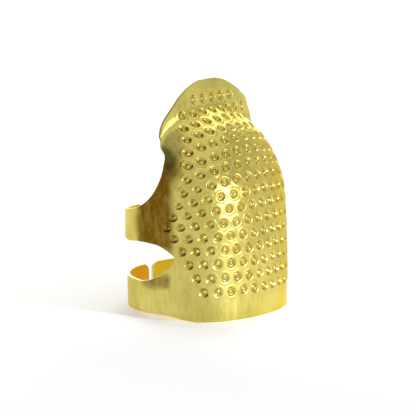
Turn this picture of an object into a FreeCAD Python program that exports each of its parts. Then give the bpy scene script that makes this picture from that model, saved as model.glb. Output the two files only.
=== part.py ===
import FreeCAD, Part
import math
import os
import Sketcher

# Open-back adjustable sewing thimble, bent from one sheet-metal blank.
# Frame: front of the shield faces -Y, +Z runs to the tip, X = 0 is the mirror plane,
# the base rim lies on Z = 0. Millimetres.

V = FreeCAD.Vector
os.makedirs("parts", exist_ok=True)
doc = FreeCAD.newDocument("thimble")
sheet = doc.addObject("Spreadsheet::Sheet", "dims")

DIMENSIONS = [
    ("sheet_thickness", 0.30),
    ("half_width", 8.70),
    ("front_reach", 7.90),
    ("front_radius", 13.0),
    ("corner_forward", 1.50),
    ("wall_straight", 8.0),
    ("wall_lean", 4.0),
    ("shoulder_start", 12.8),
    ("shoulder_start_lean", 8.0),
    ("shoulder_end", 22.0),
    ("shoulder_end_lean", 58.0),
    ("crease_start", 24.0),
    ("crease_start_lean", 60.0),
    ("crease_end", 25.2),
    ("lip_lean", 6.0),
    ("profile_length", 27.8),
    ("row_tilt", 33.0),
    ("lip_radius", 8.70),
    ("lip_centre_height", 15.85),
    ("lip_plane_back", 0.00),
    ("lip_blend", 0.25),
    ("slot_depth", 2.60),
    ("slot_height", 6.55),
    ("slot_low_root", 4.42),
    ("slot_high_root", 8.00),
    ("waist_height", 16.2),
    ("waist_back", 0.95),
    ("upper_root_top", 13.6),
    ("rim_step", 0.50),
    ("hinge_gap", 0.02),
    ("lower_band_radius", 7.85),
    ("lower_band_foot", 0.50),
    ("lower_band_top", 3.75),
    ("lower_band_sweep", 93.6),
    ("upper_band_radius", 8.60),
    ("upper_band_foot", 7.75),
    ("upper_band_top", 11.20),
    ("upper_band_tip_top", 10.30),
    ("upper_band_sweep", 87.0),
    ("corner_round", 0.90),
    ("dimple_pitch", 1.56),
    ("dimple_row_pitch", 1.49),
    ("dimple_first_row", 3.20),
    ("dimple_pit_radius", 0.40),
    ("dimple_pit_depth", 0.12),
]
for index, (alias, number) in enumerate(DIMENSIONS):
    cell_row = str(index + 1)
    sheet.set("A" + cell_row, alias)
    sheet.set("B" + cell_row, str(number))
    sheet.setAlias("B" + cell_row, alias)
doc.recompute()


def size(alias):
    return float(sheet.get(alias))


# ---------------------------------------------------------------- shield surface
thick = size("sheet_thickness")
half_width = size("half_width")
front_y = -size("front_reach")
front_radius = size("front_radius")
corner_y = -size("corner_forward")
centre_gap = front_y + front_radius - corner_y
corner_radius = (front_radius ** 2 - half_width ** 2 - centre_gap ** 2) / (2 * (front_radius - half_width))
front_angle = math.atan2(half_width - corner_radius, centre_gap)
front_arc = front_radius * front_angle
corner_arc = corner_radius * (math.pi / 2 - front_angle)


def section(along):
    """Half width and depth of the wall section at a distance along it from the front."""
    side = -1.0 if along < 0 else 1.0
    run = abs(along)
    if run <= front_arc:
        turn = run / front_radius
        return side * front_radius * math.sin(turn), front_radius * (1 - math.cos(turn))
    if run <= front_arc + corner_arc:
        turn = front_angle + (run - front_arc) / corner_radius
        wide = half_width - corner_radius + corner_radius * math.sin(turn)
        return side * wide, corner_y - corner_radius * math.cos(turn) - front_y
    return side * half_width, corner_y - front_y + run - front_arc - corner_arc


LEANS = [
    (0.0, 0.0),
    (size("wall_straight"), 1.0),
    (10.0, size("wall_lean")),
    (size("shoulder_start"), size("shoulder_start_lean")),
    (size("shoulder_end"), size("shoulder_end_lean")),
    (size("crease_start"), size("crease_start_lean")),
    (size("crease_end"), 8.0),
    (size("profile_length"), size("lip_lean")),
]


def lean(up):
    for (low, low_lean), (high, high_lean) in zip(LEANS[:-1], LEANS[1:]):
        if up <= high:
            return math.radians(low_lean + (high_lean - low_lean) * (up - low) / (high - low))
    return math.radians(LEANS[-1][1])


PROFILE_STEP = 0.05
profile = [(front_y, 0.0)]
for count in range(int(size("profile_length") / PROFILE_STEP) + 20):
    angle = lean((count + 0.5) * PROFILE_STEP)
    last_y, last_z = profile[-1]
    profile.append((last_y + math.sin(angle) * PROFILE_STEP, last_z + math.cos(angle) * PROFILE_STEP))


def smooth(value):
    value = min(max(value, 0.0), 1.0)
    return value * value * (3 - 2 * value)


def lip_plane(height):
    return size("lip_plane_back") + 0.06 * (height - 21.0)


def surface_point(along, up):
    """Outer surface: the wall section swept up the bent centre profile."""
    place = up / PROFILE_STEP
    index = min(max(int(place), 0), len(profile) - 2)
    part = place - index
    base_y = profile[index][0] + (profile[index + 1][0] - profile[index][0]) * part
    base_z = profile[index][1] + (profile[index + 1][1] - profile[index][1]) * part
    tilt = math.radians(size("row_tilt")) * smooth((up - 6.0) / 15.5) * (1 - smooth((up - 22.9) / 2.7))
    flat = 1 - 0.95 * smooth((up - 22.8) / 2.4)
    wide, deep = section(along)
    deep = deep * flat
    y = base_y + math.cos(tilt) * deep
    z = base_z - math.sin(tilt) * deep
    blend = size("lip_blend")
    plane = lip_plane(z) + blend
    gap = max(min((y - plane) / blend, 40.0), -40.0)
    bent = plane - blend * math.log(1 + math.exp(-gap))
    weight = smooth((z - 16.0) / 2.0)
    return V(wide, y * (1 - weight) + bent * weight, z)


def surface_normal(along, up):
    step = 0.02
    across = surface_point(along + step, up) - surface_point(along - step, up)
    upward = surface_point(along, up + step) - surface_point(along, up - step)
    outward = across.cross(upward)
    return outward.normalize()


def column_limit(up):
    return 14.1 - 4.6 * smooth((up - 14.0) / 7.0)


COLUMNS = 73
ROWS = 80
BELOW_RIM = -0.6
top = size("profile_length")
outer_grid = []
inner_grid = []
for row in range(ROWS):
    up = BELOW_RIM + (top - BELOW_RIM) * row / (ROWS - 1)
    limit = column_limit(up)
    outer_row = []
    inner_row = []
    for column in range(COLUMNS):
        along = limit * (2.0 * column / (COLUMNS - 1) - 1)
        point = surface_point(along, up)
        outer_row.append(point)
        inner_row.append(point - surface_normal(along, up) * thick)
    outer_grid.append(outer_row)
    inner_grid.append(inner_row)


def skin(grid):
    surface = Part.BSplineSurface()
    surface.interpolate(grid)
    return surface.toShape()


outer_skin = skin(outer_grid)
inner_skin = skin(inner_grid)
faces = [outer_skin, inner_skin]
for outer_edge, inner_edge in zip(outer_skin.Edges, inner_skin.Edges):
    faces.append(Part.makeRuledSurface(outer_edge, inner_edge))
blank = Part.makeShell(faces)
blank.sewShape()
blank = Part.makeSolid(blank)
if blank.Volume < 0:
    blank.reverse()


# ---------------------------------------------------------------- shield outline
def arc(first, middle, last):
    return Part.Arc(V(0, *first), V(0, *middle), V(0, *last)).toShape()


def line(first, last):
    return Part.makeLine(V(0, *first), V(0, *last))


seam = -(thick / 2 + size("hinge_gap"))
nose_y = -size("slot_depth")
nose_z = size("slot_height")
low_root = size("slot_low_root")
high_root = size("slot_high_root")
waist_y = -size("waist_back")
waist_z = size("waist_height")
root_top = size("upper_root_top")
step = size("rim_step")
corners = [
    line((-12, 0), (-5.2, 0)),
    arc((-5.2, 0), (-4.2, 0.07), (-3.4, 0.24)),
    arc((-3.4, 0.24), (-2.6, 0.42), (-1.7, step)),
    line((-1.7, step), (seam, step)),
    line((seam, step), (seam, low_root)),
    arc((seam, low_root), (-1.25, low_root + 0.52), (nose_y + 0.30, nose_z - 0.55)),
    arc((nose_y + 0.30, nose_z - 0.55), (nose_y, nose_z), (nose_y + 0.25, nose_z + 0.50)),
    arc((nose_y + 0.25, nose_z + 0.50), (-1.15, high_root - 0.32), (seam, high_root)),
    line((seam, high_root), (seam, root_top)),
    arc((seam, root_top), (-0.72, waist_z - 1.35), (waist_y, waist_z)),
    line((waist_y, waist_z), (waist_y, waist_z + 1.1)),
    arc((waist_y, waist_z + 1.1), (-0.55, waist_z + 1.95), (0.9, waist_z + 2.9)),
    line((0.9, waist_z + 2.9), (0.9, 30)),
    line((0.9, 30), (-12, 30)),
    line((-12, 30), (-12, 0)),
]
side_face = Part.Face(Part.Wire(corners))
side_keep = side_face.extrude(V(24, 0, 0))
side_keep.translate(V(-12, 0, 0))

lip_radius = size("lip_radius")
lip_centre = size("lip_centre_height")


def dome_point(degrees, side):
    turn = math.radians(degrees)
    return V(side * lip_radius * math.cos(turn), -12, lip_centre + lip_radius * math.sin(turn))


front_edges = [Part.Arc(dome_point(26, 1), dome_point(90, 1), dome_point(26, -1)).toShape()]
for side in (-1, 1):
    start = dome_point(26, side)
    bulge = V(side * 7.88, -12, 19.05)
    waist = V(side * 7.60, -12, 18.45)
    flank = V(side * 9.7, -12, 17.7)
    foot = V(side * 9.7, -12, -1)
    front_edges.append(Part.Arc(start, bulge, waist).toShape())
    front_edges.append(Part.makeLine(waist, flank))
    front_edges.append(Part.makeLine(flank, foot))
front_edges.append(Part.makeLine(V(-9.7, -12, -1), V(9.7, -12, -1)))
front_wire = Part.Wire(Part.__sortEdges__(front_edges))
front_keep = Part.Face(front_wire).extrude(V(0, 16, 0))
keep = side_keep.common(front_keep)

hinge_x = half_width - thick / 2
shield_shape = blank.common(keep).Solids[0]

# Needle pits: a shallow spherical cup at each point of a staggered field. Each row
# lists its first and last column, in pitches from the centre line, from the base up.
PIT_ROWS = [(-5.0 - 0.5 * row, 5.0 + 0.5 * row) for row in range(6)]
PIT_ROWS += [(-7.0 + 0.5 * row, 7.0 - 0.5 * row) for row in range(8)]
PIT_ROWS += [(-3.0, 4.0), (-1.5, 2.5)]
BALL_POLE = V(0.3, 0.5, 0.8)
pit_radius = size("dimple_pit_radius")
pit_depth = size("dimple_pit_depth")
ball_radius = (pit_radius ** 2 + pit_depth ** 2) / (2 * pit_depth)
balls = []
for row, (first_column, last_column) in enumerate(PIT_ROWS):
    up = size("dimple_first_row") + row * size("dimple_row_pitch")
    for number in range(int(round(last_column - first_column)) + 1):
        along = (first_column + number) * size("dimple_pitch")
        centre = surface_point(along, up) + surface_normal(along, up) * (ball_radius - pit_depth)
        balls.append(Part.makeSphere(ball_radius, centre, BALL_POLE))
shield_shape = shield_shape.cut(Part.makeCompound(balls)).Solids[0]

shield = doc.addObject("Part::Feature", "shield")
shield.Label = "shield"
shield.Shape = shield_shape
shield.Placement = FreeCAD.Placement(V(0, 0, 0), FreeCAD.Rotation(0, 0, 0))


# ---------------------------------------------------------------- bands
def origin_plane(body, role):
    return [item for item in body.Origin.OriginFeatures if item.Role == role][0]


def attach(sketch, body, role):
    sketch.AttachmentSupport = [(origin_plane(body, role), "")]
    sketch.MapMode = "FlatFace"


def bind(sketch, constraint, name, expression):
    number = sketch.addConstraint(constraint)
    sketch.renameConstraint(number, name)
    sketch.setExpression("Constraints." + name, expression)


def make_band(name, side, level, outline):
    """One band: a bent strip padded up, trimmed to its outline, far corners rounded."""
    body = doc.addObject("PartDesign::Body", name)
    body.Label = name
    radius = size(level + "_band_radius")
    sweep = math.radians(size(level + "_band_sweep"))
    centre_x = side * (half_width - radius)
    plan = body.newObject("Sketcher::SketchObject", name + "_plan")
    attach(plan, body, "XY_Plane")
    plan.AttachmentOffset = FreeCAD.Placement(V(0, 0, size(level + "_band_foot")), FreeCAD.Rotation())
    plan.setExpression("AttachmentOffset.Base.z", "dims." + level + "_band_foot")
    if side < 0:
        turn_from, turn_to = math.pi - sweep, math.pi
        root_point, far_point = 2, 1
        root_from, root_to = math.pi, 2 * math.pi
    else:
        turn_from, turn_to = 0.0, sweep
        root_point, far_point = 1, 2
        root_from, root_to = math.pi, 2 * math.pi
    up = V(0, 0, 1)
    outer = plan.addGeometry(Part.ArcOfCircle(Part.Circle(V(centre_x, 0, 0), up, radius), turn_from, turn_to))
    inner_circle = Part.Circle(V(centre_x, 0, 0), up, radius - thick)
    inner = plan.addGeometry(Part.ArcOfCircle(inner_circle, turn_from, turn_to))
    root_circle = Part.Circle(V(side * hinge_x, 0, 0), up, thick / 2)
    root = plan.addGeometry(Part.ArcOfCircle(root_circle, root_from, root_to))
    direction = V(side * math.cos(sweep), math.sin(sweep), 0)
    centre = V(centre_x, 0, 0)
    start = centre + direction * (radius - thick)
    finish = centre + direction * radius
    end = plan.addGeometry(Part.LineSegment(start, finish))
    axis = plan.addGeometry(Part.LineSegment(centre, start), True)
    outer_root, inner_root = (1, 2) if side < 0 else (2, 1)
    plan.addConstraint(Sketcher.Constraint("Coincident", root, outer_root, outer, root_point))
    plan.addConstraint(Sketcher.Constraint("Coincident", root, inner_root, inner, root_point))
    plan.addConstraint(Sketcher.Constraint("Coincident", end, 1, inner, far_point))
    plan.addConstraint(Sketcher.Constraint("Coincident", end, 2, outer, far_point))
    plan.addConstraint(Sketcher.Constraint("Coincident", outer, 3, inner, 3))
    plan.addConstraint(Sketcher.Constraint("Coincident", axis, 1, outer, 3))
    plan.addConstraint(Sketcher.Constraint("Coincident", axis, 2, end, 1))
    plan.addConstraint(Sketcher.Constraint("PointOnObject", end, 2, axis))
    plan.addConstraint(Sketcher.Constraint("PointOnObject", outer, 3, -1))
    plan.addConstraint(Sketcher.Constraint("PointOnObject", outer, root_point, -1))
    plan.addConstraint(Sketcher.Constraint("PointOnObject", inner, root_point, -1))
    plan.addConstraint(Sketcher.Constraint("PointOnObject", root, 3, -1))
    bind(plan, Sketcher.Constraint("Radius", outer, radius), "outer_radius", "dims." + level + "_band_radius")
    inner_size = "dims." + level + "_band_radius - dims.sheet_thickness"
    bind(plan, Sketcher.Constraint("Radius", inner, radius - thick), "inner_radius", inner_size)
    offset = half_width - radius
    if (offset > 0) == (side > 0):
        spot = Sketcher.Constraint("DistanceX", -1, 1, outer, 3, abs(offset))
    else:
        spot = Sketcher.Constraint("DistanceX", outer, 3, -1, 1, abs(offset))
    bind(plan, spot, "centre_offset", "abs(dims.half_width - dims." + level + "_band_radius)")
    if side > 0:
        fan = Sketcher.Constraint("Angle", -1, 1, axis, 1, sweep)
        bind(plan, fan, "sweep", "dims." + level + "_band_sweep * 1 deg")
    else:
        fan = Sketcher.Constraint("Angle", -1, 1, axis, 1, math.pi - sweep)
        bind(plan, fan, "sweep", "(180 - dims." + level + "_band_sweep) * 1 deg")
    doc.recompute()
    pad = body.newObject("PartDesign::Pad", name + "_pad")
    pad.Profile = plan
    pad.Length = outline["height"]
    pad.setExpression("Length", outline["height_from"])
    plan.Visibility = False
    doc.recompute()
    trim = body.newObject("Sketcher::SketchObject", name + "_trim")
    attach(trim, body, "YZ_Plane")
    for piece in outline["trims"]:
        first = trim.GeometryCount
        for kind, points in piece:
            flat = [V(y, z, 0) for y, z in points]
            if kind == "arc":
                trim.addGeometry(Part.Arc(*flat))
            else:
                trim.addGeometry(Part.LineSegment(*flat))
        for number in range(first, trim.GeometryCount):
            following = number + 1 if number + 1 < trim.GeometryCount else first
            ends = (trim.getPoint(number, 1), trim.getPoint(number, 2))
            nexts = (trim.getPoint(following, 1), trim.getPoint(following, 2))
            pairs = [(a, b) for a in (0, 1) for b in (0, 1) if ends[a].distanceToPoint(nexts[b]) < 1e-6]
            a, b = pairs[0]
            trim.addConstraint(Sketcher.Constraint("Coincident", number, a + 1, following, b + 1))
    doc.recompute()
    cut = body.newObject("PartDesign::Pocket", name + "_outline")
    cut.Profile = trim
    cut.Type = 1
    cut.Midplane = True
    trim.Visibility = False
    doc.recompute()
    tip = V(centre_x, 0, 0) + direction * (radius - thick / 2)
    names = []
    for index, edge in enumerate(body.Shape.Edges):
        middle = edge.valueAt((edge.FirstParameter + edge.LastParameter) / 2)
        near = math.hypot(middle.x - tip.x, middle.y - tip.y) < 0.05
        if near and abs(edge.Length - thick) < 0.02:
            names.append("Edge" + str(index + 1))
    corner = body.newObject("PartDesign::Fillet", name + "_corners")
    corner.Base = (cut, names)
    corner.Radius = size("corner_round")
    corner.setExpression("Radius", "dims.corner_round")
    doc.recompute()
    return body


lower_foot = size("lower_band_foot")
lower_top = size("lower_band_top")
lower_outline = {
    "height": low_root + 0.3 - lower_foot,
    "height_from": "dims.slot_low_root + 0.3 - dims.lower_band_foot",
    "trims": [[
        ("arc", ((-0.5, low_root + 0.17), (1.2, lower_top + 0.16), (3.2, lower_top))),
        ("line", ((3.2, lower_top), (10, lower_top))),
        ("line", ((10, lower_top), (10, 7))),
        ("line", ((10, 7), (-0.5, 7))),
        ("line", ((-0.5, 7), (-0.5, low_root + 0.17))),
    ]],
}
upper_foot = size("upper_band_foot")
upper_top = size("upper_band_top")
upper_tip_top = size("upper_band_tip_top")
upper_outline = {
    "height": root_top + 0.6 - upper_foot,
    "height_from": "dims.upper_root_top + 0.6 - dims.upper_band_foot",
    "trims": [
        [
            ("arc", ((-0.5, root_top + 0.68), (1.35, upper_top + 1.05), (4.0, upper_top))),
            ("line", ((4.0, upper_top), (8.6, upper_tip_top))),
            ("line", ((8.6, upper_tip_top), (10, upper_tip_top))),
            ("line", ((10, upper_tip_top), (10, 16))),
            ("line", ((10, 16), (-0.5, 16))),
            ("line", ((-0.5, 16), (-0.5, root_top + 0.68))),
        ],
        [
            ("arc", ((-0.5, high_root - 0.09), (1.6, high_root + 0.05), (4.4, upper_foot))),
            ("line", ((4.4, upper_foot), (4.4, upper_foot - 1))),
            ("line", ((4.4, upper_foot - 1), (-0.5, upper_foot - 1))),
            ("line", ((-0.5, upper_foot - 1), (-0.5, high_root - 0.09))),
        ],
    ],
}
bands = [
    make_band("upper_left_band", -1, "upper", upper_outline),
    make_band("upper_right_band", 1, "upper", upper_outline),
    make_band("lower_left_band", -1, "lower", lower_outline),
    make_band("lower_right_band", 1, "lower", lower_outline),
]

# ---------------------------------------------------------------- checks and export
doc.recompute()
for item in doc.Objects:
    if "Invalid" in item.State or "Error" in item.State:
        raise RuntimeError("bad state: " + item.Label + " " + str(item.State))
for node in [shield] + bands:
    if node.Shape.isNull() or not node.Shape.isValid():
        raise RuntimeError("bad shape: " + node.Label)
for node in [shield] + bands:
    node.Shape.exportStep("parts/" + node.Label + ".step")
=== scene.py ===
import math

import bpy
import numpy as np
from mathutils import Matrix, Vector


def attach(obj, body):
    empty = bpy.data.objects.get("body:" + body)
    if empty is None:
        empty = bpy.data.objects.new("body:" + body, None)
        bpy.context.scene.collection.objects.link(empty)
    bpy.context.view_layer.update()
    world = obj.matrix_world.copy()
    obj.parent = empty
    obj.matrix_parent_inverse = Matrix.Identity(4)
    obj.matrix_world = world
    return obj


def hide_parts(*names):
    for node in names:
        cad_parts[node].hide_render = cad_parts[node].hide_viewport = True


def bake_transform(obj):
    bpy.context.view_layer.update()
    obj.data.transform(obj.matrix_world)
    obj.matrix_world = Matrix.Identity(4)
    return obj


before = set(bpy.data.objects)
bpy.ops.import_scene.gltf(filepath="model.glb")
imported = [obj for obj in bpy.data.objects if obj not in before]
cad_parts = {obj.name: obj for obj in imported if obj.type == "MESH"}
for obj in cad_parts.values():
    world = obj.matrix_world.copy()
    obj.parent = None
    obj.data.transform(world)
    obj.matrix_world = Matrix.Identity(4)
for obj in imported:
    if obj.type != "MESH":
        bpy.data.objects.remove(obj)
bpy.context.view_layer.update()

MM = 0.001

# ------------------------------------------------------------------ sizes, in millimetres
SHEET = 0.30
EDGE_BULGE = 0.07
GRID_STEP = 0.080

HALF_WIDTH = 8.70
FRONT_Y = -7.90
FRONT_RADIUS = 13.0
CORNER_Y = -1.50

# Lean of the bent centre line, in degrees, at distances along it.
LEANS = (
    (0.0, 0.0), (8.0, 1.0), (10.0, 4.0), (12.8, 8.0),
    (22.0, 58.0), (24.0, 60.0), (25.2, 8.0), (27.8, 6.0),
)
# Each row of the sheet tilts down to the sides, by this many degrees where it tilts most.
ROW_TILT = 33.0
TILT_RISE = (6.0, 21.5)
TILT_FALL = (22.9, 25.6)

# The upright lip: a nearly flat plane that the shoulder meets in a crease.
LIP_FLATNESS = 0.95
LIP_FLATTENS = (22.8, 25.2)
LIP_RADIUS = 8.70
LIP_CENTRE = 15.85
LIP_TOP = LIP_CENTRE + LIP_RADIUS
LIP_SHIFT = 0.35
LIP_SHIFTS = (18.0, 19.2)
LIP_PLANE_LEAN = 0.06
LIP_PLANE_LEVEL = 21.0
LIP_PLANE_STARTS = (16.0, 18.0)
LIP_BLEND = 0.25

# The cut bottom edge steps up by this much from the shield to the bands.
FOOT_STEP = 0.5
FOOT_RISE = (-5.2, -1.7)
FOOT_REACH = 3.0

# The dimples, in staggered rows. Each row has its first and last place, counted in pitches.
PITCH = 1.5655
ROW_PITCH = 1.488
FIRST_ROW = 3.20
ROW_ENDS = [(-5.0 - 0.5 * row, 5.0 + 0.5 * row) for row in range(6)]
ROW_ENDS += [(-7.0 + 0.5 * row, 7.0 - 0.5 * row) for row in range(8)]
ROW_ENDS += [(-3.0, 4.0), (-1.5, 2.5)]
DIMPLE_RADII = (0.00, 0.11, 0.20, 0.27, 0.32, 0.42, 0.54, 0.66, 0.82)
DIMPLE_HEIGHTS = (-0.03, -0.06, -0.13, -0.19, -0.19, -0.10, 0.020, 0.025, 0.0)
DIMPLE_SOFTNESS = 0.03
PLACE_SPREAD = 0.022
SIZE_SPREAD = 0.04
DEPTH_SPREAD = 0.08
CUP_DEPTH = 0.14

# ------------------------------------------------------------------ shared maths


def ease(value, start, end):
    """0 up to the start, 1 from the end on, and a smooth rise between them."""
    share = np.clip((value - start) / (end - start), 0.0, 1.0)
    return share * share * (3 - 2 * share)


def three_point_arc(first, middle, last, count=24):
    """Points of the circular arc through three points of a plane."""
    (ax, ay), (bx, by), (cx, cy) = first, middle, last
    d = 2 * (ax * (by - cy) + bx * (cy - ay) + cx * (ay - by))
    a2, b2, c2 = ax * ax + ay * ay, bx * bx + by * by, cx * cx + cy * cy
    ux = (a2 * (by - cy) + b2 * (cy - ay) + c2 * (ay - by)) / d
    uy = (a2 * (cx - bx) + b2 * (ax - cx) + c2 * (bx - ax)) / d
    start, mid, end = (math.atan2(y - uy, x - ux) for x, y in (first, middle, last))
    turn = (end - start) % (2 * math.pi)
    if (mid - start) % (2 * math.pi) > turn:
        turn -= 2 * math.pi
    radius = math.hypot(ax - ux, ay - uy)
    angles = start + turn * np.linspace(0, 1, count)
    return np.stack([ux + radius * np.cos(angles), uy + radius * np.sin(angles)], 1)


def running_sum(values, steps):
    """Integral of evenly sampled values, starting from 0."""
    return np.concatenate([[0], np.cumsum((values[1:] + values[:-1]) / 2 * steps)])


def border(grid):
    """The outermost values of a grid, once round."""
    return np.concatenate([grid[0, :-1], grid[:-1, -1], grid[-1, :0:-1], grid[:0:-1, 0]])


# ------------------------------------------------------------------ the shield's surface
CORNER_GAP = FRONT_Y + FRONT_RADIUS - CORNER_Y
CORNER_RADIUS = (FRONT_RADIUS**2 - HALF_WIDTH**2 - CORNER_GAP**2) / (2 * (FRONT_RADIUS - HALF_WIDTH))
FRONT_ANGLE = math.atan2(HALF_WIDTH - CORNER_RADIUS, CORNER_GAP)
FRONT_ARC = FRONT_RADIUS * FRONT_ANGLE
CORNER_ARC = CORNER_RADIUS * (math.pi / 2 - FRONT_ANGLE)
SEAM_RUN = FRONT_ARC + CORNER_ARC - CORNER_Y
NORMAL_STEP = 0.02

PROFILE_UP = np.linspace(-1.0, 30.0, 6201)
PROFILE_LEAN = np.radians(np.interp(PROFILE_UP, *zip(*LEANS)))
PROFILE_Z = running_sum(np.cos(PROFILE_LEAN), np.diff(PROFILE_UP))
PROFILE_Z -= np.interp(0, PROFILE_UP, PROFILE_Z)
PROFILE_Y = running_sum(np.sin(PROFILE_LEAN), np.diff(PROFILE_UP))
PROFILE_Y += FRONT_Y - np.interp(0, PROFILE_UP, PROFILE_Y)


def section(run):
    """Half width and depth of the wall's section at a distance along it from the front."""
    side, run = np.sign(run), np.abs(run)
    turn = np.minimum(run, FRONT_ARC) / FRONT_RADIUS
    wide, deep = FRONT_RADIUS * np.sin(turn), FRONT_RADIUS * (1 - np.cos(turn))
    turn = np.clip(run - FRONT_ARC, 0, CORNER_ARC) / CORNER_RADIUS + FRONT_ANGLE
    corner = run > FRONT_ARC
    wide = np.where(corner, HALF_WIDTH - CORNER_RADIUS + CORNER_RADIUS * np.sin(turn), wide)
    deep = np.where(corner, CORNER_Y - CORNER_RADIUS * np.cos(turn) - FRONT_Y, deep)
    return side * wide, deep + np.maximum(run - FRONT_ARC - CORNER_ARC, 0)


def surface(run, up):
    """Outer surface of the shield: the section swept up the centre line, and the lip bent upright."""
    base_y, base_z = np.interp(up, PROFILE_UP, PROFILE_Y), np.interp(up, PROFILE_UP, PROFILE_Z)
    tilt = math.radians(ROW_TILT) * ease(up, *TILT_RISE) * (1 - ease(up, *TILT_FALL))
    wide, deep = section(run)
    deep = deep * (1 - LIP_FLATNESS * ease(up, *LIP_FLATTENS))
    y = base_y + np.cos(tilt) * deep
    z = base_z - np.sin(tilt) * deep
    plane = LIP_PLANE_LEAN * (z - LIP_PLANE_LEVEL) + LIP_BLEND
    gap = np.clip((y - plane) / LIP_BLEND, -40, 40)
    bent = plane - LIP_BLEND * np.log(1 + np.exp(-gap))
    weight = ease(z, *LIP_PLANE_STARTS)
    return np.stack([wide, y * (1 - weight) + bent * weight, z], -1)


def surface_normal(run, up):
    """Unit normal of the outer surface, outwards."""
    across = surface(run + NORMAL_STEP, up) - surface(run - NORMAL_STEP, up)
    upward = surface(run, up + NORMAL_STEP) - surface(run, up - NORMAL_STEP)
    normal = np.cross(across, upward)
    return normal / np.linalg.norm(normal, axis=-1, keepdims=True)


# ------------------------------------------------------------------ the shield's outline
# Depth and height of the outline, seen from the side.
SIDE_EDGE = np.concatenate([
    [(0.0, -2.0), (0.0, 4.40)],
    three_point_arc((0.0, 4.42), (-1.25, 4.94), (-2.30, 6.00)),
    three_point_arc((-2.30, 6.00), (-2.60, 6.55), (-2.35, 7.05)),
    three_point_arc((-2.35, 7.05), (-1.15, 7.68), (0.0, 8.00)),
    [(0.0, 8.02), (0.0, 13.58)],
    three_point_arc((0.0, 13.60), (-0.72, 14.85), (-0.95, 16.20)),
    [(-0.95, 17.30)],
    three_point_arc((-0.95, 17.30), (-0.70, 17.62), (-0.35, 17.95)),
    [(0.10, 18.40), (3.0, 18.7), (3.0, 40.0)],
])
# Half width and height of the outline, seen from the front.
LIP_ANGLES = np.radians(np.linspace(26, 90, 60))
FRONT_EDGE = np.concatenate([
    [(12.0, -2.0), (12.0, 17.6), (9.7, 17.7), (7.80, 18.45)],
    three_point_arc((7.80, 18.45), (7.85, 19.05), (LIP_RADIUS * math.cos(LIP_ANGLES[0]), 19.66)),
    np.stack([LIP_RADIUS * np.cos(LIP_ANGLES), LIP_CENTRE + LIP_RADIUS * np.sin(LIP_ANGLES)], 1),
])
SEARCH_OVERRUN = 0.3
SEARCH_STEPS = 280
SEARCH_HALVINGS = 22
LAST_HEIGHT = 27.6
HEIGHT_STEP = 0.01
NARROWEST_ROW = 0.9
SOFT_WINDOW = 90
SOFT_WIDTH = 32.0
SOFT_STARTS = (16.5, 17.5)
SOFT_ENDS = (25.0, 26.0)
SLOPE_WEIGHT = 0.75


def inside(point):
    """True where a point of the surface lies within the outline, seen from the side and the front."""
    y, z = point[..., 1], point[..., 2]
    x = np.abs(point[..., 0] - LIP_SHIFT * ease(z, *LIP_SHIFTS))
    side = np.interp(z, SIDE_EDGE[:, 1], SIDE_EDGE[:, 0])
    front = np.interp(z, FRONT_EDGE[:, 1], FRONT_EDGE[:, 0])
    return (y <= side) & (x <= front) & (z <= LIP_TOP)


def foot(run):
    """Height of the cut bottom edge."""
    y = section(run)[1] + FRONT_Y
    return EDGE_BULGE + FOOT_STEP * ease(y, *FOOT_RISE)


def lift(run, up):
    """Rows near the base follow the cut bottom edge."""
    return up + foot(run) * np.clip(1 - up / FOOT_REACH, 0, 1) ** 2


def edge_run(up, side):
    """Distance along each row from the centre to the outline, on one side."""
    steps = np.linspace(0.0, SEAM_RUN + SEARCH_OVERRUN, SEARCH_STEPS)
    runs, ups = np.meshgrid(steps, up)
    out = ~inside(surface(side * runs, lift(runs, ups)))
    first = np.where(out.any(1), out.argmax(1), len(steps) - 1)
    low, high = steps[np.maximum(first - 1, 0)], steps[first]
    for _ in range(SEARCH_HALVINGS):
        middle = (low + high) / 2
        good = inside(surface(side * middle, lift(middle, up)))
        low, high = np.where(good, middle, low), np.where(good, high, middle)
    return low


def soften(values, kernel):
    """A running average that keeps the ends."""
    return np.convolve(np.pad(values, SOFT_WINDOW, mode="edge"), kernel, mode="valid")


def shield_rows():
    """Heights of the rows, closer together where the outline runs flat, and its reach on each side."""
    heights = np.linspace(0.0, LAST_HEIGHT, round(LAST_HEIGHT / HEIGHT_STEP) + 1)
    reaches = np.stack([edge_run(heights, side) for side in (-1, 1)])
    last = (reaches.min(0) < NARROWEST_ROW).argmax()
    heights, reaches = heights[:last], reaches[:, :last]
    kernel = np.exp(-0.5 * (np.arange(-SOFT_WINDOW, SOFT_WINDOW + 1) / SOFT_WIDTH) ** 2)
    kernel /= kernel.sum()
    soft = np.stack([soften(reach, kernel) for reach in reaches])
    mix = ease(heights, *SOFT_STARTS) * (1 - ease(heights, *SOFT_ENDS))
    reaches = reaches * (1 - mix) + soft * mix
    slope = np.gradient(reaches.mean(0), heights)
    strides = np.sqrt(1 + (SLOPE_WEIGHT * slope[1:]) ** 2) * np.diff(heights)
    travel = np.concatenate([[0], np.cumsum(strides)])
    count = int(travel[-1] / GRID_STEP)
    rows = np.interp(np.linspace(0, travel[-1], count), travel, heights)
    return rows, [np.interp(rows, heights, reach) for reach in reaches]


# ------------------------------------------------------------------ relief
rng = np.random.default_rng(7)
WAVE_COUNT = 14
WAVE_HEIGHT = 0.010
WAVE_TURNS = (0.35, 1.3)
WAVE_PHASES = (0, 6.28)
WAVE_WEIGHTS = (0.4, 1.0)
MARK_HEIGHT = 0.035
MARK_PLACES = ((0.75, 2.95), (-1.15, 2.95))
MARK_HALF_WIDTH = 0.42
MARK_HALF_HEIGHT = 0.80
MARK_RING = 0.75
MARK_SOFTNESS = 0.40
MARK_SIDE = 8.0


def random_wave():
    """Direction, phase and weight of one wave."""
    heading = rng.uniform(*WAVE_TURNS, 3) * rng.choice([-1, 1], 3)
    return heading, rng.uniform(*WAVE_PHASES), rng.uniform(*WAVE_WEIGHTS)


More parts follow.
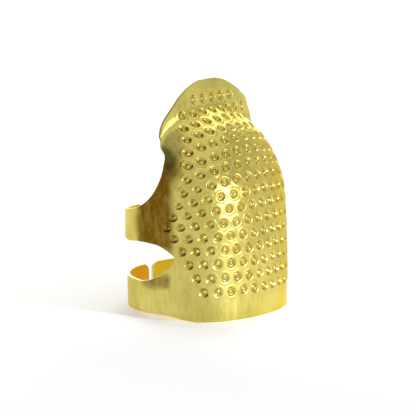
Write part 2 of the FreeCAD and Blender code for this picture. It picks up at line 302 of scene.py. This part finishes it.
WAVES = [random_wave() for _ in range(WAVE_COUNT)]


def dimple_centres():
    """Place, size and depth of each dimple, with the small unevenness of a struck pattern."""
    centres = []
    for row, (first, last) in enumerate(ROW_ENDS):
        for column in np.arange(first, last + 0.1):
            jitter = rng.normal(0, PLACE_SPREAD, 2)
            size = 1 + rng.normal(0, SIZE_SPREAD)
            depth = 1 + rng.normal(0, DEPTH_SPREAD)
            across = column * PITCH + jitter[0]
            along = FIRST_ROW + row * ROW_PITCH + jitter[1]
            centres.append((across, along, size, depth))
    return centres


def dimple_shape(distance):
    """Height of one dimple at a distance from its centre: a knob standing in a ring-shaped cup."""
    place = np.clip(distance, 0, DIMPLE_RADII[-1])
    shifts = (-DIMPLE_SOFTNESS, 0, DIMPLE_SOFTNESS)
    taps = [np.interp(np.abs(place + shift), DIMPLE_RADII, DIMPLE_HEIGHTS) for shift in shifts]
    return (taps[0] + 2 * taps[1] + taps[2]) / 4


def dimple_relief(run, up, centres):
    """Height of all the dimples together at each place of the sheet."""
    relief = np.zeros_like(run)
    for across, along, size, depth in centres:
        radius = DIMPLE_RADII[-1] * size
        near = (np.abs(run - across) < radius) & (np.abs(up - along) < radius)
        if not near.any():
            continue
        distance = np.hypot(run[near] - across, up[near] - along)
        relief[near] += dimple_shape(distance / size) * depth
    return relief


def press_marks(points):
    """Two shallow upright marks that the press leaves below each slot."""
    total = np.zeros(points.shape[:-1])
    on_side = np.abs(points[..., 0]) > MARK_SIDE
    for y, z in MARK_PLACES:
        reach = np.hypot((points[..., 1] - y) / MARK_HALF_WIDTH, (points[..., 2] - z) / MARK_HALF_HEIGHT)
        total += MARK_HEIGHT * np.exp(-((reach - MARK_RING) / MARK_SOFTNESS) ** 2)
    return np.where(on_side, total, 0.0)


def waviness(points):
    """Slight unevenness of hand-bent sheet, the same on every piece where they meet."""
    total = np.zeros(points.shape[:-1])
    for heading, phase, weight in WAVES:
        total += weight * np.sin(points @ heading + phase)
    return total * WAVE_HEIGHT + press_marks(points)


# ------------------------------------------------------------------ closed sheet meshes
EDGE_TURNS = np.radians([30, 60, 90, 120, 150])
EDGE_SQUARENESS = 0.6


def edge_rings(outer, inner, normal, bulge):
    """Rings of points that round the cut edge from the outer border to the inner one."""
    tangent = np.roll(outer, -1, 0) - np.roll(outer, 1, 0)
    outward = np.cross(tangent, normal)
    outward /= np.linalg.norm(outward, axis=1, keepdims=True) + 1e-12
    middle, half = (outer + inner) / 2, (outer - inner) / 2
    rings = []
    for turn in EDGE_TURNS:
        through = np.sign(np.cos(turn)) * abs(math.cos(turn)) ** EDGE_SQUARENESS
        swell = bulge[:, None] * math.sin(turn) ** EDGE_SQUARENESS
        rings.append(middle + half * through + outward * swell)
    return rings


def quad_mesh(name, points, faces):
    mesh = bpy.data.meshes.new(name)
    mesh.vertices.add(len(points))
    mesh.vertices.foreach_set("co", (points * MM).ravel())
    mesh.loops.add(faces.size)
    mesh.loops.foreach_set("vertex_index", faces.ravel().astype(np.int32))
    mesh.polygons.add(len(faces))
    mesh.polygons.foreach_set("loop_start", np.arange(0, faces.size, 4, dtype=np.int32))
    mesh.polygons.foreach_set("use_smooth", np.ones(len(faces), bool))
    mesh.update(calc_edges=True)
    mesh.validate()
    return mesh


def keep_seams_sharp(mesh, flat):
    """Edges between two points of a flat seam stay sharp, so that its shading doesn't bend."""
    ends = np.zeros(2 * len(mesh.edges), np.int32)
    mesh.edges.foreach_get("vertices", ends)
    creased = flat[ends.reshape(-1, 2)].all(1)
    mesh.attributes.new("sharp_edge", "BOOLEAN", "EDGE").data.foreach_set("value", creased)


def mark_points(mesh, name, values, first):
    """A point attribute that holds the values from the given point on, and 0 elsewhere."""
    marks = np.zeros(len(mesh.vertices))
    marks[first:first + len(values)] = values
    mesh.attributes.new(name, "FLOAT", "POINT").data.foreach_set("value", marks)


def sheet_mesh(name, outer, inner, normals, bulge, cups):
    """A closed sheet from two grids of points. bulge is the roundness of the cut edge, 0 on a seam."""
    count = outer.shape[0] * outer.shape[1]
    index = np.arange(count).reshape(outer.shape[:2])
    loop, swell = border(index), border(bulge)
    outer, inner, normals = outer.reshape(-1, 3), inner.reshape(-1, 3), normals.reshape(-1, 3)
    rings = edge_rings(outer[loop], inner[loop], normals[loop], swell)
    points = np.concatenate([outer, inner] + rings)
    quads = np.stack([index[:-1, :-1], index[:-1, 1:], index[1:, 1:], index[1:, :-1]], -1).reshape(-1, 4)
    faces = [quads, quads[:, ::-1] + count]
    starts = 2 * count + len(loop) * np.arange(len(rings))
    chain = [loop] + [start + np.arange(len(loop)) for start in starts] + [loop + count]
    for first, second in zip(chain[:-1], chain[1:]):
        faces.append(np.stack([first, second, np.roll(second, -1), np.roll(first, -1)], -1))
    mesh = quad_mesh(name, points, np.concatenate(faces))
    flat = np.zeros(len(points), bool)
    seam = loop[swell == 0]
    flat[seam] = flat[seam + count] = True
    mark_points(mesh, "inside", np.ones(count), count)
    mark_points(mesh, "edge", np.ones(len(points) - 2 * count), 2 * count)
    mark_points(mesh, "cup", cups.ravel(), 0)
    keep_seams_sharp(mesh, flat)
    obj = bpy.data.objects.new(name, mesh)
    bpy.context.scene.collection.objects.link(obj)
    return obj


# ------------------------------------------------------------------ the shield
HALF_COLUMNS = 156
# The dimpled middle takes this share of the columns, and reaches this far or this part of the row.
FIELD_SHARE = 0.66
FIELD_REACH = 7.9
FIELD_PART = 0.80
INNER_RELIEF = 0.85
SEAM_Y = -0.002
SEAM_TOP = 13.65


def make_shield():
    """The front plate with its dimples, shoulder and lip."""
    ups, (left, right) = shield_rows()
    spot = np.linspace(-1, 1, 2 * HALF_COLUMNS + 1)[None, :]
    size = np.abs(spot)
    reach = np.where(spot < 0, left[:, None], right[:, None])
    core = np.minimum(FIELD_REACH, FIELD_PART * reach)
    rest = core + (reach - core) * (size - FIELD_SHARE) / (1 - FIELD_SHARE)
    run = np.where(size <= FIELD_SHARE, core * size / FIELD_SHARE, rest) * np.sign(spot)
    up = lift(run, np.repeat(ups[:, None], run.shape[1], 1))
    base, normal = surface(run, up), surface_normal(run, up)
    relief = dimple_relief(run, up, dimple_centres())
    wave = waviness(base)
    outer = base + normal * (relief + wave)[..., None]
    inner = base + normal * (relief * INNER_RELIEF + wave - SHEET)[..., None]
    at_seam = (base[..., 1] > SEAM_Y) & (base[..., 2] < SEAM_TOP)
    bulge = np.where(at_seam, 0.0, EDGE_BULGE)
    bulge[0, 0] = bulge[0, -1] = 0.0
    # Depth in the cups, which the material darkens as painted shade.
    cups = np.clip(-relief / CUP_DEPTH, 0, 1)
    return sheet_mesh("brass_shield", outer, inner, normal, bulge, cups)


# ------------------------------------------------------------------ bands
# Each band's edges are lists of depth and height. foot and top are its straight part's heights.
LOWER = {
    "radius": 7.85, "sweep": 93.6, "foot": 0.50, "top": 3.75,
    "upper_edge": np.concatenate([
        three_point_arc((-0.5, 4.59), (1.2, 3.91), (3.2, 3.75)),
        [(20.0, 3.75)],
    ]),
    "lower_edge": np.array([(-1.0, 0.50 + EDGE_BULGE), (20.0, 0.50 + EDGE_BULGE)]),
}
UPPER = {
    "radius": 8.60, "sweep": 87.0, "foot": 7.75, "top": 11.20,
    "upper_edge": np.concatenate([
        three_point_arc((-0.5, 14.28), (1.35, 12.25), (4.0, 11.20)),
        [(8.6, 10.30)],
    ]),
    "lower_edge": np.concatenate([
        three_point_arc((-0.5, 7.91), (1.6, 8.05), (4.4, 7.75)),
        [(20.0, 7.75)],
    ]),
}
CORNER_ROUND = 0.90
CORNER_POINTS = 14
BAND_LEVELS = 40


def make_band(name, side, spec):
    """A band round one side, from the shield's seam to its rounded free end."""
    radius = spec["radius"]
    length = radius * math.radians(spec["sweep"])
    straight_end = length - CORNER_ROUND
    straight = np.linspace(0, straight_end, int(straight_end / GRID_STEP))
    turn = np.linspace(0, math.pi / 2, CORNER_POINTS)[1:]
    along = np.concatenate([straight, straight_end + CORNER_ROUND * np.sin(turn)])
    inset = np.concatenate([np.zeros(len(straight)), CORNER_ROUND * (1 - np.cos(turn))])
    angle = along / radius
    y = radius * np.sin(angle)
    high = np.interp(y, *spec["upper_edge"].T) - inset
    low = np.interp(y, *spec["lower_edge"].T) + inset
    z = low + (high - low) * np.linspace(0, 1, BAND_LEVELS)[:, None]
    zero = np.zeros_like(z)
    x = side * (HALF_WIDTH - radius + radius * np.cos(angle))
    base = np.stack([x + zero, y + zero, z], -1)
    normal = np.stack([side * np.cos(angle) + zero, np.sin(angle) + zero, zero], -1)
    wave = waviness(base)[..., None]
    outer = base + normal * wave
    inner = base + normal * (wave - SHEET)
    bulge = np.full(z.shape, EDGE_BULGE)
    bulge[:, 0] = 0.0
    if side < 0:
        outer, inner, normal, bulge = outer[:, ::-1], inner[:, ::-1], normal[:, ::-1], bulge[:, ::-1]
    return sheet_mesh(name, outer, inner, normal, bulge, zero)


# ------------------------------------------------------------------ material
# A colour mix node's sockets for the two colours and the result.
UNDER, OVER, MIXED = 6, 7, 2
RAGGEDNESS = 1.6


class Shading:
    """A material with one metal shader, and short forms for the nodes that feed it."""

    def __init__(self, name):
        self.material = bpy.data.materials.new(name)
        self.material.use_nodes = True
        tree = self.material.node_tree
        self.nodes, self.links = tree.nodes, tree.links
        self.nodes.clear()
        self.shader = self.nodes.new("ShaderNodeBsdfPrincipled")
        output = self.nodes.new("ShaderNodeOutputMaterial")
        self.links.new(self.shader.outputs["BSDF"], output.inputs["Surface"])
        self.place = self.nodes.new("ShaderNodeTexCoord").outputs["Object"]
        split = self.nodes.new("ShaderNodeSeparateXYZ")
        self.feed(self.place, split.inputs["Vector"])
        self.x, self.y, self.z = split.outputs["X"], split.outputs["Y"], split.outputs["Z"]
        self.ragged = self.noise(420, 4, 0.6)

    def feed(self, value, socket):
        """Link a socket, or set a number or a colour."""
        if isinstance(value, bpy.types.NodeSocket):
            self.links.new(value, socket)
        elif isinstance(value, tuple):
            socket.default_value = (*value, 1)
        else:
            socket.default_value = value

    def noise(self, scale, detail, roughness, stretch=None):
        source = self.place
        if stretch is not None:
            mapping = self.nodes.new("ShaderNodeMapping")
            mapping.inputs["Scale"].default_value = stretch
            self.feed(source, mapping.inputs["Vector"])
            source = mapping.outputs["Vector"]
        node = self.nodes.new("ShaderNodeTexNoise")
        self.feed(scale, node.inputs["Scale"])
        self.feed(detail, node.inputs["Detail"])
        self.feed(roughness, node.inputs["Roughness"])
        self.feed(source, node.inputs["Vector"])
        return node.outputs["Fac"]

    def ramp(self, source, stops):
        """Colours along a value. stops holds places and colours."""
        node = self.nodes.new("ShaderNodeValToRGB")
        elements = node.color_ramp.elements
        elements[0].position, elements[-1].position = stops[0][0], stops[-1][0]
        elements[0].color, elements[-1].color = (*stops[0][1], 1), (*stops[-1][1], 1)
        for position, colour in stops[1:-1]:
            elements.new(position).color = (*colour, 1)
        self.feed(source, node.inputs["Fac"])
        return node.outputs["Color"]

    def math(self, kind, first, second=0.0):
        node = self.nodes.new("ShaderNodeMath")
        node.operation = kind
        self.feed(first, node.inputs[0])
        self.feed(second, node.inputs[1])
        return node.outputs["Value"]

    def product(self, first, *others):
        for other in others:
            first = self.math("MULTIPLY", first, other)
        return first

    def mix(self, factor, under, over, kind="MIX"):
        node = self.nodes.new("ShaderNodeMix")
        node.data_type, node.blend_type = "RGBA", kind
        self.feed(factor, node.inputs["Factor"])
        self.feed(under, node.inputs[UNDER])
        self.feed(over, node.inputs[OVER])
        return node.outputs[MIXED]

    def attribute(self, name):
        node = self.nodes.new("ShaderNodeAttribute")
        node.attribute_name = name
        return node.outputs["Fac"]

    def slope(self, value, zero_at, one_at, kind="LINEAR"):
        """0 at one value and 1 at another."""
        node = self.nodes.new("ShaderNodeMapRange")
        node.interpolation_type = kind
        self.feed(value, node.inputs["Value"])
        self.feed(zero_at * MM, node.inputs["From Min"])
        self.feed(one_at * MM, node.inputs["From Max"])
        return node.outputs["Result"]

    def window(self, value, centre, half, edge):
        """1 within half of the centre, falling to 0 over the edge, made ragged by noise."""
        shake = self.product(self.math("SUBTRACT", self.ragged, 0.5), RAGGEDNESS * edge * MM)
        distance = self.math("SUBTRACT", self.math("ADD", value, shake), centre * MM)
        return self.slope(self.math("ABSOLUTE", distance), half + edge, half, "SMOOTHSTEP")


def drawn_brass(brass):
    """Clouded brass with dark specks and upright streaks from drawing the sheet."""
    clouds = ((0.30, (0.54, 0.46, 0.11)), (0.55, (0.61, 0.53, 0.14)), (0.75, (0.68, 0.61, 0.19)))
    specks = ((0.0, (1, 1, 1)), (0.70, (1, 1, 1)), (0.78, (0.45, 0.36, 0.20)))
    streaks = ((0.32, (0.74, 0.70, 0.58)), (0.56, (1, 1, 1)))
    colour = brass.ramp(brass.noise(260, 3, 0.5), clouds)
    colour = brass.mix(0.6, colour, brass.ramp(brass.noise(3200, 2, 0.6), specks), "MULTIPLY")
    streak_mask = brass.ramp(brass.noise(2600, 5, 0.75, (1.0, 1.0, 0.28)), streaks)
    return brass.mix(0.6, colour, streak_mask, "MULTIPLY")


def painted_shade_and_reflection(brass, colour):
    """Painted dark reflection at the waist, a painted shadow below each slot, and painted shade in the
    cups.
    """
    # Painted dark reflection: a brown patch at the waist, on both sides, made patchy by noise.
    waist = brass.product(brass.window(brass.y, 0.1, 1.9, 1.2), brass.window(brass.z, 12.0, 4.0, 2.5))
    # Painted shadow: dark brown just under the rim, below each slot.
    slot = brass.product(brass.window(brass.z, 4.1, 0.35, 0.9), brass.window(brass.y, -0.1, 1.3, 1.3), 0.75)
    patches = brass.math("ADD", 0.42, brass.noise(1500, 5, 0.7, (1.0, 1.0, 0.35)))
    painted_dark_mask = brass.product(brass.math("ADD", waist, slot), patches)
    colour = brass.mix(painted_dark_mask, colour, (0.26, 0.15, 0.015), "MULTIPLY")
    # Painted shade: dark brown in the ring-shaped cups round each knob.
    return brass.mix(brass.product(brass.attribute("cup"), 0.65), colour, (0.42, 0.27, 0.04))


def painted_light_and_lining(brass, colour):
    """A painted warm reflection on the right of the front, the lining in the inner side's own brass made
    brighter as painted bounce light, and painted bounce light in yellow and amber inside the bands.
    """
    # Painted warm reflection: golden colour on the right of the front.
    front = brass.slope(brass.y, -0.5, -3.0)
    painted_warm_reflection = brass.product(brass.slope(brass.x, 1.5, 5.5), brass.slope(brass.z, 19.0, 15.0), front, 0.80)
    colour = brass.mix(painted_warm_reflection, colour, (0.60, 0.43, 0.05))
    # The inner side's own brass colour, made brighter as painted bounce light.
    lining = brass.attribute("inside")
    colour = brass.mix(lining, colour, (0.80, 0.62, 0.15))
    # Painted bounce light: saturated yellow inside the bands.
    in_band = brass.product(lining, brass.slope(brass.y, 0.5, 3.5))
    colour = brass.mix(in_band, colour, (1.0, 0.86, 0.08))
    # Painted bounce light: amber instead of yellow inside the left bands only.
    in_left_band = brass.product(in_band, brass.slope(brass.x, 0.3, -0.3), 0.85)
    return brass.mix(in_left_band, colour, (1.0, 0.55, 0.02))


def edged(brass, colour):
    """Cut edges: a painted highlight, near-white, low down, and a painted dark reflection, brown, round the
    top.
    """
    edge = brass.attribute("edge")
    # Painted highlight: near-white on the cut edges low down.
    painted_edge_highlight = brass.product(edge, brass.slope(brass.z, 14.0, 12.0))
    painted_edge_darkening = brass.math("SUBTRACT", edge, painted_edge_highlight)
    colour = brass.mix(painted_edge_highlight, colour, (1.0, 0.94, 0.78))
    # Painted dark reflection: brown on the cut edges round the top.
    return brass.mix(brass.product(painted_edge_darkening, 0.8), colour, (0.30, 0.20, 0.08))


def brass_material():
    brass = Shading("polished_brass")
    shader = brass.shader
    colour = edged(brass, painted_light_and_lining(brass, painted_shade_and_reflection(brass, drawn_brass(brass))))
    brass.feed(colour, shader.inputs["Base Color"])
    drawn = brass.noise(900, 4, 0.6, (1.0, 1.0, 0.08))
    polish = brass.ramp(drawn, ((0.30, (0.15, 0.15, 0.15)), (0.70, (0.27, 0.27, 0.27))))
    satin = brass.math("MAXIMUM", brass.attribute("inside"), brass.attribute("edge"))
    brass.feed(brass.mix(satin, polish, (0.50, 0.50, 0.50)), shader.inputs["Roughness"])
    brass.feed(brass.math("SUBTRACT", 1.0, brass.product(satin, 0.45)), shader.inputs["Metallic"])
    brass.feed((1.0, 0.90, 0.55), shader.inputs["Specular Tint"])
    bump = brass.nodes.new("ShaderNodeBump")
    brass.feed(0.12, bump.inputs["Strength"])
    brass.feed(0.03 * MM, bump.inputs["Distance"])
    brass.feed(drawn, bump.inputs["Height"])
    brass.feed(bump.outputs["Normal"], shader.inputs["Normal"])
    return brass.material


brass_sheet = brass_material()
shield = make_shield()
shield.data.materials.append(brass_sheet)
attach(shield, "shield")
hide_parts("shield")

for band_name, side, spec in (
    ("upper_left_band", -1, UPPER),
    ("upper_right_band", 1, UPPER),
    ("lower_left_band", -1, LOWER),
    ("lower_right_band", 1, LOWER),
):
    band = make_band("brass_" + band_name, side, spec)
    band.data.materials.append(brass_sheet)
    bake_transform(band)
    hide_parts(band_name)

# ------------------------------------------------------------------ studio, in metres
scene = bpy.context.scene
FLOOR_HALF = 2.0
FLOOR_COLOUR = (0.97, 0.97, 0.97, 1)
OBJECT_MIDDLE = Vector((0, 0, 0.012))


def direction(azimuth, elevation):
    """Unit vector from the object: azimuth 0 is straight in front of the shield."""
    turn, rise = math.radians(azimuth), math.radians(elevation)
    return Vector((math.sin(turn) * math.cos(rise), -math.cos(turn) * math.cos(rise), math.sin(rise)))


def add_object(name, data, location=(0, 0, 0), backward=None):
    """An object in the scene. A lamp or a camera faces away from the backward direction."""
    obj = bpy.data.objects.new(name, data)
    obj.location = location
    if backward is not None:
        obj.rotation_mode = "QUATERNION"
        obj.rotation_quaternion = backward.to_track_quat("Z", "Y")
    scene.collection.objects.link(obj)
    return obj


def add_floor():
    corners = [(-1, -1), (1, -1), (1, 1), (-1, 1)]
    mesh = bpy.data.meshes.new("floor")
    mesh.from_pydata([(x * FLOOR_HALF, y * FLOOR_HALF, 0) for x, y in corners], [], [(0, 1, 2, 3)])
    material = bpy.data.materials.new("pale_floor")
    material.use_nodes = True
    shader = material.node_tree.nodes["Principled BSDF"]
    shader.inputs["Base Color"].default_value = FLOOR_COLOUR
    shader.inputs["Roughness"].default_value = 0.9
    shader.inputs["Specular IOR Level"].default_value = 0.0
    mesh.materials.append(material)
    add_object("floor", mesh)


def add_sky():
    """A pale studio, brightest near the horizon, with a dark part high up at the back left."""
    world = bpy.data.worlds.new("studio")
    world.use_nodes = True
    nodes, links = world.node_tree.nodes, world.node_tree.links

    def fade(source, from_low, from_high, to_low, to_high, kind):
        node = nodes.new("ShaderNodeMapRange")
        node.interpolation_type = kind
        links.new(source, node.inputs["Value"])
        node.inputs["From Min"].default_value = from_low
        node.inputs["From Max"].default_value = from_high
        node.inputs["To Min"].default_value = to_low
        node.inputs["To Max"].default_value = to_high
        return node.outputs["Result"]

    heading = nodes.new("ShaderNodeTexCoord").outputs["Generated"]
    toward_dark = nodes.new("ShaderNodeVectorMath")
    toward_dark.operation = "DOT_PRODUCT"
    toward_dark.inputs[1].default_value = direction(-140, 48)
    links.new(heading, toward_dark.inputs[0])
    split = nodes.new("ShaderNodeSeparateXYZ")
    links.new(heading, split.inputs["Vector"])
    strength = nodes.new("ShaderNodeMath")
    strength.operation = "MULTIPLY"
    dark_part = fade(toward_dark.outputs["Value"], 0.58, 0.86, 0.78, 0.06, "SMOOTHSTEP")
    links.new(dark_part, strength.inputs[0])
    links.new(fade(split.outputs["Z"], 0.0, 0.45, 1.35, 0.95, "LINEAR"), strength.inputs[1])
    background = nodes["Background"]
    background.inputs["Color"].default_value = (1, 1, 1, 1)
    links.new(strength.outputs["Value"], background.inputs["Strength"])
    scene.world = world


def add_softbox(name, azimuth, elevation, distance, width, height, power):
    light = bpy.data.lights.new(name, "AREA")
    light.shape = "RECTANGLE"
    light.size, light.size_y = width, height
    light.energy = power
    away = direction(azimuth, elevation)
    add_object(name, light, OBJECT_MIDDLE + away * distance, away)


def add_pool():
    """A narrow light on the floor in front of the shield, which the brass reflects."""
    light = bpy.data.lights.new("pool", "SPOT")
    light.energy = 18.0
    light.spot_size = math.radians(5.5)
    light.spot_blend = 1.0
    light.shadow_soft_size = 0.01
    location = direction(6, 14) * 0.50
    lit_spot = direction(6, 0) * 0.048
    add_object("pool", light, location, location - lit_spot)


add_floor()
add_sky()
add_softbox("key", 6, 10, 0.50, 0.20, 0.17, 0.38)
add_softbox("top", -20, 78, 0.60, 0.90, 0.90, 0.9)
add_softbox("back", 140, 36, 0.60, 0.80, 0.70, 3.6)
add_pool()

# ------------------------------------------------------------------ camera, in metres
VIEW_AZIMUTH, VIEW_ELEVATION = -52.0, 10.0
VIEW_DISTANCE = 0.320
VIEW_CENTRE = Vector((0, 0, 0.0123))
VIEW_RIGHT, VIEW_DOWN = 0.000235, 0.001643
SENSOR_WIDTH = 36.0
FRAME_WIDTH = 0.044373


def add_camera():
    """The camera, with the object's middle a little off the picture's middle."""
    backward = direction(VIEW_AZIMUTH, VIEW_ELEVATION)
    rightward = direction(VIEW_AZIMUTH + 90, 0)
    upward = backward.cross(rightward)
    aim = VIEW_CENTRE + rightward * VIEW_RIGHT - upward * VIEW_DOWN
    camera = bpy.data.cameras.new("camera")
    camera.sensor_width = SENSOR_WIDTH
    camera.lens = SENSOR_WIDTH * VIEW_DISTANCE / FRAME_WIDTH
    camera.clip_start = 0.01
    camera.clip_end = 10.0
    scene.camera = add_object("camera", camera, aim + backward * VIEW_DISTANCE, backward)
    scene.view_settings.view_transform = "Standard"


add_camera()
